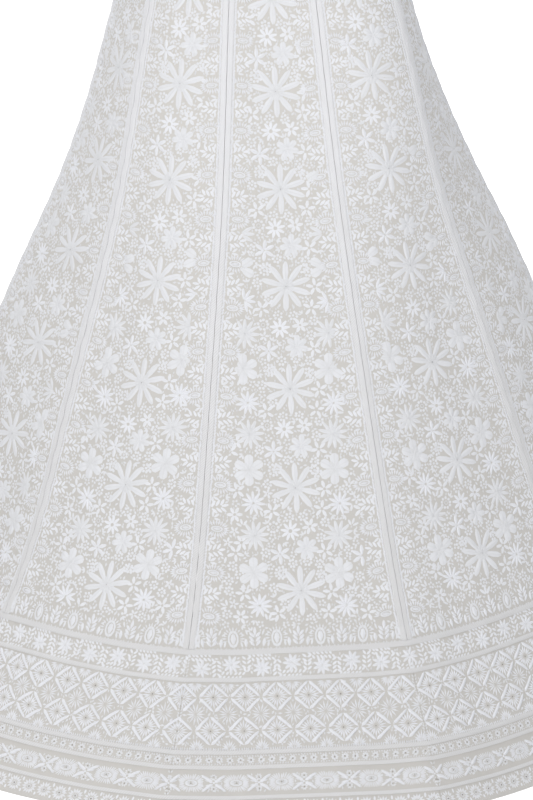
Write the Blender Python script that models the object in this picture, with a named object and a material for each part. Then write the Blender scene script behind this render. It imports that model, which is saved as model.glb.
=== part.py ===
"""A worn chikankari lehenga skirt: ten flared kalis, their edging strips, five border tapes and a waistband.

Metres, +Z up. The origin is the middle of the waist, level with the seam under the waistband. The front of the
skirt faces -Y, and +X is to the right of someone who looks at the front.
"""

import math

import bpy
import numpy as np

# Sizes of the whole skirt.
SKIRT_LENGTH = 1.050  # from the waist seam to the hem, measured down the cloth
WAIST_HALF_WIDTH = 0.136
WAIST_HALF_DEPTH = 0.110
KALI_COUNT = 10

# Cloth and trims.
SEAM_GAP = 0.0003
KALI_WALL = 0.0015
TAPE_WALL = 0.0010
EDGING_WIDTH = 0.0065  # a cream strip down each side of each kali
WAISTBAND_BASE = 0.0008  # above the waist seam, clear of the edging strips, whose top ends lean out
WAISTBAND_HEIGHT = 0.035
WAISTBAND_WALL = 0.0028
WAISTBAND_LAP = 0.032  # the hooked end lies this far over the other end
LAP_STEP = 0.020  # length over which the lapped end rises onto the lower end
PLACKET_SEAM = 2.5  # the lap starts over this seam, counted in kalis to the right of the front

# How far the cloth leans out from straight down, in degrees, on six lines down the skirt.
FLARE_COLUMNS = ("below_waist", "back", "left", "left_front", "front", "right_front", "right")
FLARE_TABLE = (
    (0.00, 13, 19, 19, 7, 24, 5),
    (0.13, 12, 18, 16, 7, 16, 12),
    (0.22, 12, 18, 12, 8, 9, 18),
    (0.32, 12, 23, 11, 10, 5, 23),
    (0.42, 14, 28, 12, 14, 8, 26),
    (0.54, 18, 26, 19, 19, 16, 21),
    (0.70, 24, 14, 29, 28, 23, 21),
    (0.86, 32, 20, 40, 40, 28, 28),
    (1.05, 38, 28, 48, 49, 32, 38),
)
FLARE_AZIMUTHS = {"back": 180, "left": -90, "left_front": -45, "front": 0, "right_front": 45, "right": 90}

# Each kali is cut nearly flat, so it pulls the round form towards the chord between its two seams.
PANEL_FLATNESS = 0.40
FLATNESS_AT_WAIST = 0.30
FULLY_FLAT_BELOW = 0.56

# Border tapes: distance of the tape's middle below the waist seam, and its width.
BORDER_TAPES = {
    "border_tape_a": (0.8555, 0.0064),
    "border_tape_b": (0.8875, 0.0050),
    "border_tape_c": (0.9715, 0.0050),
    "border_tape_d": (0.9890, 0.0046),
    "border_tape_e": (1.0240, 0.0042),
}

# Rows of each kali above the border, and one in the wide field between tapes b and c.
BODY_ROWS = (0.08, 0.16, 0.24, 0.32, 0.40, 0.48, 0.56, 0.64, 0.72, 0.79)
BORDER_FIELD_ROW = 0.93
KALI_INNER_COLUMNS = 5

# Fineness of the sums that turn the flare angles into a surface.
SUM_STEP = 0.005
RING_SAMPLES = 361
NORMAL_REACH = 0.004

COLOURS = {
    "georgette": (0.665, 0.650, 0.605),
    "cream_tape": (0.705, 0.668, 0.580),
    "waistband_cloth": (0.640, 0.620, 0.565),
}
CLOTH_ROUGHNESS = 0.85


def smoothstep(x):
    x = np.clip(x, 0.0, 1.0)
    return x * x * (3 - 2 * x)


def flare_surface():
    """Depths down the cloth, azimuths round it, and the surface points over both, before the panels flatten it."""
    depths = np.linspace(0, SKIRT_LENGTH, int(round(SKIRT_LENGTH / SUM_STEP)) + 1)
    azimuths = np.linspace(-math.pi, math.pi, RING_SAMPLES)
    table = np.array(FLARE_TABLE, float)
    column = {name: table[:, i] for i, name in enumerate(FLARE_COLUMNS)}
    lines = ("back", "left", "left_front", "front", "right_front", "right", "back")
    line_azimuths = np.radians([FLARE_AZIMUTHS[name] for name in lines])
    line_azimuths[0] = -math.pi
    angles = np.stack([np.interp(depths, column["below_waist"], column[name]) for name in lines], axis=1)
    before = np.clip(np.searchsorted(line_azimuths, azimuths, side="right") - 1, 0, len(lines) - 2)
    share = smoothstep((azimuths - line_azimuths[before]) / (line_azimuths[before + 1] - line_azimuths[before]))
    angles = np.radians(angles[:, before] * (1 - share) + angles[:, before + 1] * share)
    middle = (angles[1:] + angles[:-1]) / 2
    start = np.zeros((1, len(azimuths)))
    outward = np.vstack([start, np.cumsum(np.sin(middle), axis=0) * SUM_STEP])
    downward = np.vstack([start, np.cumsum(np.cos(middle), axis=0) * SUM_STEP])
    x = (WAIST_HALF_WIDTH + outward) * np.sin(azimuths)
    y = -(WAIST_HALF_DEPTH + outward) * np.cos(azimuths)
    return depths, np.stack([x, y, -downward], axis=-1)


DEPTHS, ROUND_SURFACE = flare_surface()


def ring_at(depth):
    """The closed ring of surface points at one depth, and the distance round it from the back."""
    place = np.clip(depth / SKIRT_LENGTH, 0, 1) * (len(DEPTHS) - 1)
    row = min(int(place), len(DEPTHS) - 2)
    share = place - row
    ring = ROUND_SURFACE[row] * (1 - share) + ROUND_SURFACE[row + 1] * share
    steps = np.linalg.norm(np.diff(ring, axis=0), axis=1)
    return ring, np.concatenate([[0.0], np.cumsum(steps)])


def kali_width(depth):
    return ring_at(depth)[1][-1] / KALI_COUNT


def surface_points(depth, kalis):
    """Points on the skirt's outer face at one depth. Places round it are counted in kalis from the front."""
    ring, distance = ring_at(depth)
    girth = distance[-1]
    front = distance[len(distance) // 2]

    def on_ring(places):
        along = np.mod(front + np.asarray(places) * girth / KALI_COUNT, girth)
        return np.stack([np.interp(along, distance, ring[:, axis]) for axis in range(3)], axis=-1)

    kalis = np.asarray(kalis, float)
    own = np.floor(kalis + 0.5)
    share = (kalis - own + 0.5)[:, None]
    chord = on_ring(own - 0.5) * (1 - share) + on_ring(own + 0.5) * share
    flat = PANEL_FLATNESS * min(1.0, FLATNESS_AT_WAIST + (1 - FLATNESS_AT_WAIST) * depth / FULLY_FLAT_BELOW)
    points = on_ring(kalis)
    return points + flat * (chord - points)


def points_and_normals(depth, kalis):
    """Surface points with the outward direction at each, which is the same on both sides of a seam."""
    kalis = np.asarray(kalis, float)
    reach = NORMAL_REACH / kali_width(depth)
    across = surface_points(depth, kalis + reach) - surface_points(depth, kalis - reach)
    upper = max(depth - NORMAL_REACH, 0.0)
    lower = min(depth + NORMAL_REACH, SKIRT_LENGTH)
    down = surface_points(lower, kalis) - surface_points(upper, kalis)
    normals = np.cross(down, across)
    return surface_points(depth, kalis), normals / np.linalg.norm(normals, axis=1, keepdims=True)


def kali_columns(kali, depth):
    """Places of one kali's column lines, in kalis from the front: its edges, its edging's inner sides, and between."""
    width = kali_width(depth)
    edge = -0.5 + SEAM_GAP / 2 / width
    inside = -0.5 + EDGING_WIDTH / width
    between = np.linspace(inside, -inside, KALI_INNER_COLUMNS + 1)
    return kali + np.concatenate([[edge], between, [-edge]])


def border_rows():
    rows = [BORDER_FIELD_ROW]
    for middle, width in BORDER_TAPES.values():
        rows += [middle - width / 2, middle + width / 2]
    return rows


def kali_rows():
    return sorted([SEAM_GAP, SKIRT_LENGTH, *BODY_ROWS, *border_rows()])


def material_of(name):
    material = bpy.data.materials.get(name)
    if material is None:
        material = bpy.data.materials.new(name)
        material.use_nodes = True
        shader = material.node_tree.nodes["Principled BSDF"]
        shader.inputs["Base Color"].default_value = (*COLOURS[name], 1.0)
        shader.inputs["Roughness"].default_value = CLOTH_ROUGHNESS
        shader.inputs["Metallic"].default_value = 0.0
        material.diffuse_color = (*COLOURS[name], 1.0)
    return material


def add_wall(name, outer, inner, material, closed_round=False):
    """A closed cloth wall between two grids of points, whose rows run down and whose columns run to the right."""
    rows, columns = outer.shape[:2]
    points = np.concatenate([outer.reshape(-1, 3), inner.reshape(-1, 3)])
    inner_start = rows * columns

    def outside(row, column):
        return row * columns + column % columns

    def inside(row, column):
        return inner_start + outside(row, column)

    faces = []

    def add_quad(a, b, c, d):
        """Two triangles, always split from a to c, so that layers over the same cells stay parallel."""
        faces.append([a, b, c])
        faces.append([a, c, d])

    spans = columns if closed_round else columns - 1
    last = rows - 1
    right = columns - 1
    for row in range(last):
        for column in range(spans):
            corners = ((row, column), (row + 1, column), (row + 1, column + 1), (row, column + 1))
            add_quad(*[outside(*corner) for corner in corners])
            turned = (corners[0], corners[3], corners[2], corners[1])
            add_quad(*[inside(*corner) for corner in turned])
    for column in range(spans):
        add_quad(outside(0, column), outside(0, column + 1), inside(0, column + 1), inside(0, column))
        add_quad(inside(last, column), inside(last, column + 1), outside(last, column + 1), outside(last, column))
    if not closed_round:
        for row in range(last):
            add_quad(inside(row, 0), inside(row + 1, 0), outside(row + 1, 0), outside(row, 0))
            add_quad(outside(row, right), outside(row + 1, right), inside(row + 1, right), inside(row, right))
    mesh = bpy.data.meshes.new(name)
    mesh.from_pydata(points.tolist(), [], faces)
    mesh.shade_smooth()
    mesh.set_sharp_from_angle(angle=math.radians(50))
    mesh.materials.append(material_of(material))
    piece = bpy.data.objects.new(name, mesh)
    bpy.context.scene.collection.objects.link(piece)
    return piece


def layer(grids, lift):
    """A grid of surface points moved out along their normals."""
    points, normals = grids
    return points + normals * lift


def grid_of(depths, columns_at):
    rows = [points_and_normals(depth, columns_at(depth)) for depth in depths]
    return np.stack([row[0] for row in rows]), np.stack([row[1] for row in rows])


def add_kalis():
    rows = kali_rows()
    for kali in range(KALI_COUNT):
        grids = grid_of(rows, lambda depth: kali_columns(kali, depth))
        add_wall(f"kali_{kali + 1:02d}", layer(grids, 0), layer(grids, -KALI_WALL), "georgette")


def between_rows(grids, rows, depth):
    """A grid cut at a depth that lies between two rows, on the straight lines that join them."""
    points, normals = grids
    above = max(i for i, row in enumerate(rows) if row < depth)
    share = (depth - rows[above]) / (rows[above + 1] - rows[above])
    cut = [grid[above] * (1 - share) + grid[above + 1] * share for grid in (points, normals)]
    return tuple(np.concatenate([grid[: above + 1], end[None]]) for grid, end in zip(grids, cut))


def add_edgings():
    """The two cream strips on each kali, laid on its outermost columns from the waist to the first border tape."""
    rows = kali_rows()
    middle, width = BORDER_TAPES["border_tape_a"]
    end = middle - width / 2 - SEAM_GAP
    for kali in range(KALI_COUNT):
        grids = grid_of(rows, lambda depth: kali_columns(kali, depth))
        cut = between_rows(grids, rows, end)
        for side, columns in (("left", slice(0, 2)), ("right", slice(-2, None))):
            strip = tuple(grid[:, columns] for grid in cut)
            outer = layer(strip, SEAM_GAP + TAPE_WALL)
            inner = layer(strip, SEAM_GAP)
            add_wall(f"edging_{kali + 1:02d}_{side}", outer, inner, "cream_tape")


def add_border_tapes():
    for name, (middle, width) in BORDER_TAPES.items():
        depths = (middle - width / 2, middle + width / 2)
        grids = grid_of(depths, lambda depth: np.concatenate([kali_columns(k, depth) for k in range(KALI_COUNT)]))
        outer = layer(grids, SEAM_GAP + TAPE_WALL)
        inner = layer(grids, SEAM_GAP)
        add_wall(name, outer, inner, "cream_tape", closed_round=True)


def add_waistband():
    """One straight strip that starts at the placket seam, runs once round the waist and laps over its own start."""
    girth = kali_width(0) * KALI_COUNT
    spans_per_kali = 8
    steps = KALI_COUNT * spans_per_kali
    round_once = np.linspace(0, girth - LAP_STEP, steps)
    rising = np.linspace(girth - LAP_STEP, girth, 5)[1:]
    lapping = np.linspace(girth, girth + WAISTBAND_LAP, 5)[1:]
    along = np.concatenate([round_once, rising, lapping])
    places = PLACKET_SEAM + along / girth * KALI_COUNT
    points, normals = points_and_normals(0, places)
    normals[:, 2] = 0
    normals /= np.linalg.norm(normals, axis=1, keepdims=True)
    rise = smoothstep((along - (girth - LAP_STEP)) / LAP_STEP) * (WAISTBAND_WALL + SEAM_GAP)
    face = TAPE_WALL + SEAM_GAP + rise
    outer_row = points + normals * face[:, None]
    inner_row = points + normals * (face - WAISTBAND_WALL)[:, None]
    top = np.array([0, 0, WAISTBAND_BASE + WAISTBAND_HEIGHT])
    base = np.array([0, 0, WAISTBAND_BASE])
    outer = np.stack([outer_row + top, outer_row + base])
    inner = np.stack([inner_row + top, inner_row + base])
    add_wall("waistband", outer, inner, "waistband_cloth")


def main():
    for old in list(bpy.data.objects):
        bpy.data.objects.remove(old, do_unlink=True)
    add_waistband()
    add_kalis()
    add_edgings()
    add_border_tapes()


main()
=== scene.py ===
from math import atan2, ceil, cos, degrees, hypot, pi, radians, sin

import bpy
import numpy as np
from mathutils import Matrix, Vector


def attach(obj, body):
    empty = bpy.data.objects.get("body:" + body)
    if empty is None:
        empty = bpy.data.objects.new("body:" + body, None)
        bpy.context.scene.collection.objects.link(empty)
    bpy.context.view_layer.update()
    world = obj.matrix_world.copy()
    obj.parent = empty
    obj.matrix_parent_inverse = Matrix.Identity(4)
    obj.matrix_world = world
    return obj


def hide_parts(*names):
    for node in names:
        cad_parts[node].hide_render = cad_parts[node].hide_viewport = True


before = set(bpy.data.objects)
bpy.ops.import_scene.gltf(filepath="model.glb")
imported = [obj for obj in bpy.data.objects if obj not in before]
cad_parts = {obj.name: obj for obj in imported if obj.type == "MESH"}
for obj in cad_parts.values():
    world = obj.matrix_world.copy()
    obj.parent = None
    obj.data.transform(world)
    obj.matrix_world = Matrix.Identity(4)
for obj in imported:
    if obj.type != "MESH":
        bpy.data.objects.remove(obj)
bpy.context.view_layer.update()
bpy.ops.object.select_all(action="DESELECT")
print("frame loaded:", len(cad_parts), "nodes")

# Sizes are the CAD part's own: metres, the waist at the origin, the front towards -Y.
skirt = {
    "length": 1.050,
    "waistHalfWidth": 0.136,
    "waistHalfDepth": 0.110,
    "kalis": 10,
    "flatness": 0.40,
    "flatnessAtWaist": 0.30,
    "fullyFlatBelow": 0.56,
    "rowStep": 0.005,
    "ringSamples": 361,
    "placesPerKali": 48,
    "seamGap": 0.0003,
    "wall": 0.0015,
}
# how many degrees the cloth leans out from straight down, on six lines down the skirt
leanLines = ("back", "left", "leftFront", "front", "rightFront", "right", "back")
leanAzimuths = (-180, -90, -45, 0, 45, 90, 180)
leanColumns = ("belowWaist", "back", "left", "leftFront", "front", "rightFront", "right")
leanTable = (
    (0.00, 13, 19, 19, 7, 24, 5),
    (0.13, 12, 18, 16, 7, 16, 12),
    (0.22, 12, 18, 12, 8, 9, 18),
    (0.32, 12, 23, 11, 10, 5, 23),
    (0.42, 14, 28, 12, 14, 8, 26),
    (0.54, 18, 26, 19, 19, 16, 21),
    (0.70, 24, 14, 29, 28, 23, 21),
    (0.86, 32, 20, 40, 40, 28, 28),
    (1.05, 38, 28, 48, 49, 32, 38),
)
borderTapes = {  # how far below the waist the tape's middle is, and its width
    "a": (0.8555, 0.0064),
    "b": (0.8875, 0.0050),
    "c": (0.9715, 0.0050),
    "d": (0.9890, 0.0046),
    "e": (1.0240, 0.0042),
}

# Soft creases, pressed in (minus) or standing out: place, depth, half across, half down, amount, slant.
# Places are counted in kalis from the front, depths in metres.
creases = (
    (-0.1, 0.472, 1.7, 0.009, -0.0011, 0.006),
    (-0.4, 0.586, 1.5, 0.009, -0.0010, -0.004),
    (0.9, 0.530, 0.8, 0.008, -0.0008, 0.010),
    (4.6, 0.500, 1.8, 0.010, -0.0012, 0.006),
    (-3.3, 0.560, 1.3, 0.010, -0.0011, -0.008),
    (-0.27, 0.900, 0.09, 0.200, -0.0022, 0),
    (0.31, 0.930, 0.08, 0.170, -0.0018, 0),
    (0.80, 0.880, 0.10, 0.220, -0.0024, 0),
    (1.24, 0.930, 0.09, 0.180, 0.0022, 0),
    (-0.78, 0.870, 0.10, 0.240, -0.0024, 0),
    (-1.22, 0.900, 0.10, 0.200, 0.0024, 0),
    (1.85, 0.850, 0.12, 0.260, -0.0036, 0),
    (-1.80, 0.850, 0.12, 0.260, -0.0034, 0),
    (2.60, 0.830, 0.13, 0.300, 0.0040, 0),
    (3.10, 0.860, 0.13, 0.280, -0.0042, 0),
    (3.75, 0.820, 0.12, 0.300, 0.0038, 0),
    (4.30, 0.850, 0.13, 0.290, -0.0046, 0),
    (-4.75, 0.830, 0.12, 0.300, 0.0040, 0),
    (-4.15, 0.840, 0.13, 0.300, -0.0044, 0),
    (-3.55, 0.860, 0.12, 0.270, 0.0038, 0),
    (-2.95, 0.840, 0.13, 0.280, -0.0040, 0),
    (-2.40, 0.850, 0.12, 0.260, 0.0034, 0),
)
seamPucker = {"amount": 0.0006, "pitch": 0.034, "reach": 0.10, "stagger": 2.1}


def smoothstep(x):
    x = np.clip(x, 0.0, 1.0)
    return x * x * (3 - 2 * x)


def roundForm():
    # the cloth leans out by the table's angles, summed down from the waist
    depths = np.linspace(0, skirt["length"], int(round(skirt["length"] / skirt["rowStep"])) + 1)
    azimuths = np.linspace(-pi, pi, skirt["ringSamples"])
    table = np.array(leanTable, float)
    lines = np.radians(leanAzimuths)
    column = {name: table[:, i] for i, name in enumerate(leanColumns)}
    angles = np.stack([np.interp(depths, column["belowWaist"], column[name]) for name in leanLines], axis=1)
    before = np.clip(np.searchsorted(lines, azimuths, side="right") - 1, 0, len(lines) - 2)
    share = smoothstep((azimuths - lines[before]) / (lines[before + 1] - lines[before]))
    angles = np.radians(angles[:, before] * (1 - share) + angles[:, before + 1] * share)
    middle = (angles[1:] + angles[:-1]) / 2
    start = np.zeros((1, len(azimuths)))
    outward = np.vstack([start, np.cumsum(np.sin(middle), axis=0) * skirt["rowStep"]])
    downward = np.vstack([start, np.cumsum(np.cos(middle), axis=0) * skirt["rowStep"]])
    x = (skirt["waistHalfWidth"] + outward) * np.sin(azimuths)
    y = -(skirt["waistHalfDepth"] + outward) * np.cos(azimuths)
    return depths, np.stack([x, y, -downward], axis=-1)


def creaseLift(places, depths):
    # one number for each place and depth: how far the soft creases and the seam puckers move the cloth
    lift = np.zeros(np.broadcast(places, depths).shape)
    halfRound = skirt["kalis"] / 2
    for place, depth, halfAcross, halfDown, amount, slant in creases:
        away = (places - place + halfRound) % skirt["kalis"] - halfRound
        centre = depth + slant * away
        lift += amount * np.exp(-((away / halfAcross) ** 2)) * np.exp(-(((depths - centre) / halfDown) ** 2))
    toSeam = np.abs(places - np.floor(places) - 0.5)
    turns = depths / seamPucker["pitch"] * 2 * pi + seamPucker["stagger"] * np.floor(places + 0.5)
    return lift + seamPucker["amount"] * np.sin(turns) * np.exp(-((toSeam / seamPucker["reach"]) ** 2))


def clothForm():
    # the panels' flattening and the creases on the round form, as a grid of rows down and places round
    depths, ringPoints = roundForm()
    count = skirt["kalis"] * skirt["placesPerKali"]
    places = (np.arange(count) - count / 2) / skirt["placesPerKali"]
    own = np.floor(places + 0.5)
    share = (places - own + 0.5)[:, None]
    grid = []
    girths = []
    for row, ring in enumerate(ringPoints):
        distance = np.concatenate([[0.0], np.cumsum(np.linalg.norm(np.diff(ring, axis=0), axis=1))])
        girth = distance[-1]
        front = distance[len(distance) // 2]

        def onRing(at):
            along = np.mod(front + at * girth / skirt["kalis"], girth)
            return np.stack([np.interp(along, distance, ring[:, axis]) for axis in range(3)], axis=-1)

        chord = onRing(own - 0.5) * (1 - share) + onRing(own + 0.5) * share
        atWaist = skirt["flatnessAtWaist"]
        ease = min(1.0, atWaist + (1 - atWaist) * depths[row] / skirt["fullyFlatBelow"])
        points = onRing(places)
        grid.append(points + skirt["flatness"] * ease * (chord - points))
        girths.append(girth)
    return depths, places, np.array(grid), np.array(girths)


def gridNormals(grid):
    across = np.roll(grid, -1, axis=1) - np.roll(grid, 1, axis=1)
    down = np.gradient(grid, axis=0)
    normals = np.cross(down, across)
    return normals / np.linalg.norm(normals, axis=2, keepdims=True)


formDepths, formPlaces, formPoints, formGirths = clothForm()
formLift = creaseLift(formPlaces[None, :], formDepths[:, None])
formPoints = formPoints + gridNormals(formPoints) * formLift[..., None]
formNormals = gridNormals(formPoints)


def kaliWidth(depths):
    return np.interp(depths, formDepths, formGirths) / skirt["kalis"]


def onCloth(places, depths, lift):
    # points on the cloth's outer face, moved out by lift; all three may be arrays
    places, depths, lift = np.broadcast_arrays(places, depths, lift)
    down = depths / skirt["rowStep"]
    row = np.clip(np.floor(down).astype(int), 0, len(formDepths) - 2)
    downShare = (down - row)[..., None]
    count = len(formPlaces)
    across = places * skirt["placesPerKali"] + count / 2
    column = np.floor(across).astype(int)
    acrossShare = (across - column)[..., None]
    right = (column + 1) % count
    column = column % count

    def mixed(grid):
        upper = grid[row, column] * (1 - acrossShare) + grid[row, right] * acrossShare
        lower = grid[row + 1, column] * (1 - acrossShare) + grid[row + 1, right] * acrossShare
        return upper * (1 - downShare) + lower * downShare

    normals = mixed(formNormals)
    normals = normals / np.linalg.norm(normals, axis=-1, keepdims=True)
    return mixed(formPoints) + normals * lift[..., None]


print("cloth form:", formPoints.shape)


def linear(hexColour):
    # an sRGB hex value as linear red, green, blue and full alpha
    parts = [int(hexColour[i : i + 2], 16) / 255 for i in (1, 3, 5)]
    return (*[p / 12.92 if p <= 0.04045 else ((p + 0.055) / 1.055) ** 2.4 for p in parts], 1.0)


def addNode(tree, kind, settings=None, links=None):
    # a link comes from a socket, or from a node's first output
    node = tree.nodes.new("ShaderNode" + kind)
    for name, value in (settings or {}).items():
        if isinstance(name, int) or name in node.inputs:
            node.inputs[name].default_value = value
        else:
            setattr(node, name, value)
    for name, source in (links or {}).items():
        tree.links.new(source.outputs[0] if hasattr(source, "outputs") else source, node.inputs[name])
    return node


def newMaterial(name, settings):
    material = bpy.data.materials.new(name)
    material.use_nodes = True
    tree = material.node_tree
    shader = tree.nodes["Principled BSDF"]
    for socket, value in settings.items():
        shader.inputs[socket].default_value = value
    return material, tree, shader


def colourAndBump(tree, shader, share, dark, light, height, strength, distance):
    # share goes from the dark colour (0) to the light one (1), and height is the relief
    colours = {"data_type": "RGBA", 6: linear(dark), 7: linear(light)}
    tree.links.new(addNode(tree, "Mix", colours, {0: share}).outputs[2], shader.inputs["Base Color"])
    bump = addNode(tree, "Bump", {"Strength": strength, "Distance": distance}, {"Height": height})
    tree.links.new(bump.outputs["Normal"], shader.inputs["Normal"])


def softCloth(name, light, dark, weavePitch, weaveDepth, roughness, ribPitch=0):
    # plain-woven cloth: threads at weavePitch (mm) give a fine grain, uneven dye and a painted shade of its
    # hang a faint cloudiness;
    # it is sheer, and less light comes through it near the hem, so a painted shade turns it from light to
    # dark there
    surface = {"Roughness": roughness, "Sheen Weight": 0.15, "Sheen Roughness": 0.5}
    material, tree, shader = newMaterial(name, surface)
    place = addNode(tree, "Attribute", {"attribute_name": "clothPlace"}).outputs["Vector"]
    apart = addNode(tree, "SeparateXYZ", links={0: place}).outputs
    waves = []
    for axis in ("X", "Y"):
        turns = {"operation": "MULTIPLY", 1: 2 * pi / weavePitch}
        angle = addNode(tree, "Math", turns, {0: apart[axis]})
        waves.append(addNode(tree, "Math", {"operation": "SINE"}, {0: angle}))
    weave = addNode(tree, "Math", {"operation": "MULTIPLY"}, {0: waves[0], 1: waves[1]})
    cloud = addNode(tree, "TexNoise", {"Scale": 0.035, "Detail": 3.0}, {"Vector": place})
    slub = addNode(tree, "TexNoise", {"Scale": 0.55, "Detail": 2.0}, {"Vector": place})
    both = addNode(tree, "Math", {"operation": "MULTIPLY_ADD", 1: 0.55}, {0: slub, 2: cloud})
    patchy = addNode(tree, "MapRange", {"From Min": 0.55, "From Max": 1.0, "To Min": 0.75}, {"Value": both})
    # painted shade: the colour turns darker from 250 mm below the waist down to the hem
    towardsHem = {"From Min": 250, "From Max": 930, "To Max": -0.85}
    paintedHemShade = addNode(tree, "MapRange", towardsHem, {"Value": apart["Y"]})
    share = addNode(tree, "Math", {"operation": "ADD", "use_clamp": True}, {0: patchy, 1: paintedHemShade})
    if ribPitch:  # slanting stitches worked over the whole width, with a little shade between them
        slanted = addNode(tree, "Math", {"operation": "ADD"}, {0: apart["X"], 1: apart["Y"]})
        angle = addNode(tree, "Math", {"operation": "MULTIPLY", 1: 2 * pi / ribPitch}, {0: slanted})
        ribs = addNode(tree, "Math", {"operation": "SINE"}, {0: angle})
        shading = {"operation": "MULTIPLY_ADD", "use_clamp": True, 1: 0.4}
        share = addNode(tree, "Math", shading, {0: ribs, 2: share})
    grain = addNode(tree, "Math", {"operation": "MULTIPLY_ADD", 1: 0.5}, {0: weave, 2: slub})
    colourAndBump(tree, shader, share, dark, light, grain, 0.5, weaveDepth)
    return material


def threadMaterial(name, white, cream, strandPitch):
    # rayon embroidery thread laid in satin stitch: silky, with fine ridges where strands lie side by side,
    # drawn at strandPitch (mm), coarser than the real 0.3 mm so that they show; stitchPlace holds the way
    # along a stitch, the share of its half width and its tone
    surface = {"Roughness": 0.5, "Sheen Weight": 0.2, "Specular IOR Level": 0.4}
    material, tree, shader = newMaterial(name, surface)
    place = addNode(tree, "Attribute", {"attribute_name": "stitchPlace"}).outputs["Vector"]
    apart = addNode(tree, "SeparateXYZ", links={0: place}).outputs
    fromVein = addNode(tree, "Math", {"operation": "ABSOLUTE"}, {0: apart["Y"]})
    slanted = addNode(tree, "Math", {"operation": "MULTIPLY_ADD", 1: 2.4}, {0: fromVein, 2: apart["X"]})
    angle = addNode(tree, "Math", {"operation": "MULTIPLY", 1: 2 * pi / strandPitch}, {0: slanted})
    ridges = addNode(tree, "Math", {"operation": "SINE"}, {0: angle})
    # painted shade: each stitch is drawn darker along its middle, where the vein lies
    shade = {"From Min": 0.02, "From Max": 0.22, "To Min": -0.30, "To Max": 0.0}
    vein = addNode(tree, "MapRange", shade, {"Value": fromVein})
    tone = addNode(tree, "Math", {"operation": "ADD", "use_clamp": True}, {0: apart["Z"], 1: vein})
    colourAndBump(tree, shader, tone, cream, white, ridges, 0.35, 0.0004)
    return material


georgette = softCloth("georgette, crepe-woven", "#d5d2cd", "#ccc9c4", 1.1, 0.0005, 0.85)
doubledCloth = softCloth("georgette, doubled and pressed", "#d5d4d0", "#d0cfca", 1.1, 0.0005, 0.8)
creamTape = softCloth("cotton tape, woven and stitched down", "#ebebed", "#dad9d8", 0.9, 0.0005, 0.75, 3.1)
satinThread = threadMaterial("rayon thread, satin-stitched", "#eeeff3", "#dddddd", 1.0)
# the eyelets are not cut through the cloth: a dark disc of painted shade stands where each hole is
openEyelet = newMaterial("pierced eyelet, in shade", {"Base Color": linear("#85807b"), "Roughness": 0.95})[0]


def flatMesh(name, points, faces, materials, attribute, values, faceMaterials=None):
    # a mesh from arrays; values is the vector attribute that its material reads
    mesh = bpy.data.meshes.new(name)
    points = np.asarray(points, np.float32)
    faces = np.asarray(faces, np.int32)
    corners = faces.shape[1]
    mesh.vertices.add(len(points))
    mesh.vertices.foreach_set("co", points.ravel())
    mesh.loops.add(faces.size)
    mesh.loops.foreach_set("vertex_index", faces.ravel())
    mesh.polygons.add(len(faces))
    mesh.polygons.foreach_set("loop_start", np.arange(0, faces.size, corners, dtype=np.int32))
    mesh.update(calc_edges=True)
    mesh.shade_smooth()
    for material in materials:
        mesh.materials.append(material)
    if faceMaterials is not None:
        mesh.polygons.foreach_set("material_index", np.asarray(faceMaterials, np.int32))
    data = mesh.attributes.new(attribute, "FLOAT_VECTOR", "POINT")
    data.data.foreach_set("vector", np.asarray(values, np.float32).ravel())
    piece = bpy.data.objects.new(name, mesh)
    bpy.context.scene.collection.objects.link(piece)
    return piece


def wallPiece(name, outer, inner, places, material, closedRound=False):
    # a closed cloth wall between two grids of points; places is the outer grid's clothPlace
    rows, columns = outer.shape[:2]
    index = np.arange(rows * columns).reshape(rows, columns)
    if closedRound:
        index = np.concatenate([index, index[:, :1]], axis=1)
    inside = index + rows * columns

    def quads(a, b, c, d):
        return np.stack([a.ravel(), b.ravel(), c.ravel(), d.ravel()], axis=1)

    faces = [
        quads(index[:-1, :-1], index[1:, :-1], index[1:, 1:], index[:-1, 1:]),
        quads(inside[:-1, :-1], inside[:-1, 1:], inside[1:, 1:], inside[1:, :-1]),
        quads(index[0, :-1], index[0, 1:], inside[0, 1:], inside[0, :-1]),
        quads(inside[-1, :-1], inside[-1, 1:], index[-1, 1:], index[-1, :-1]),
    ]
    if not closedRound:
        faces.append(quads(inside[:-1, 0], inside[1:, 0], index[1:, 0], index[:-1, 0]))
        faces.append(quads(index[:-1, -1], index[1:, -1], inside[1:, -1], inside[:-1, -1]))
    points = np.concatenate([outer.reshape(-1, 3), inner.reshape(-1, 3)])
    values = np.concatenate([places.reshape(-1, 3), places.reshape(-1, 3)])
    piece = flatMesh(name, points, np.concatenate(faces), [material], "clothPlace", values)
    piece.data.set_sharp_from_angle(angle=radians(50))
    return piece


def keep(piece, node=None):
    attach(piece, "root")
    if node:
        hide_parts(node)
    return piece


def placeVectors(kali, across, depths):
    # clothPlace in millimetres: across from the kali's middle, down, and which kali
    across, depths = np.broadcast_arrays(across, depths)
    return np.stack([across * 1000, depths * 1000, np.full(across.shape, kali * 50.0)], axis=-1)


# kalis, the tapered panels
kaliCloth = {
    "columns": 30,
    "rowPitch": 0.008,
    "hemTurn": 0.006,
    "hemRows": (0.0045, 0.003, 0.0015, 0.0),
    "hemLift": 0.0005,
    "hemLiftFrom": 0.005,
    "hemRollTo": -0.0008,
}
shown = {"kalis": [], "edgings": [], "tapes": []}


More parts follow.
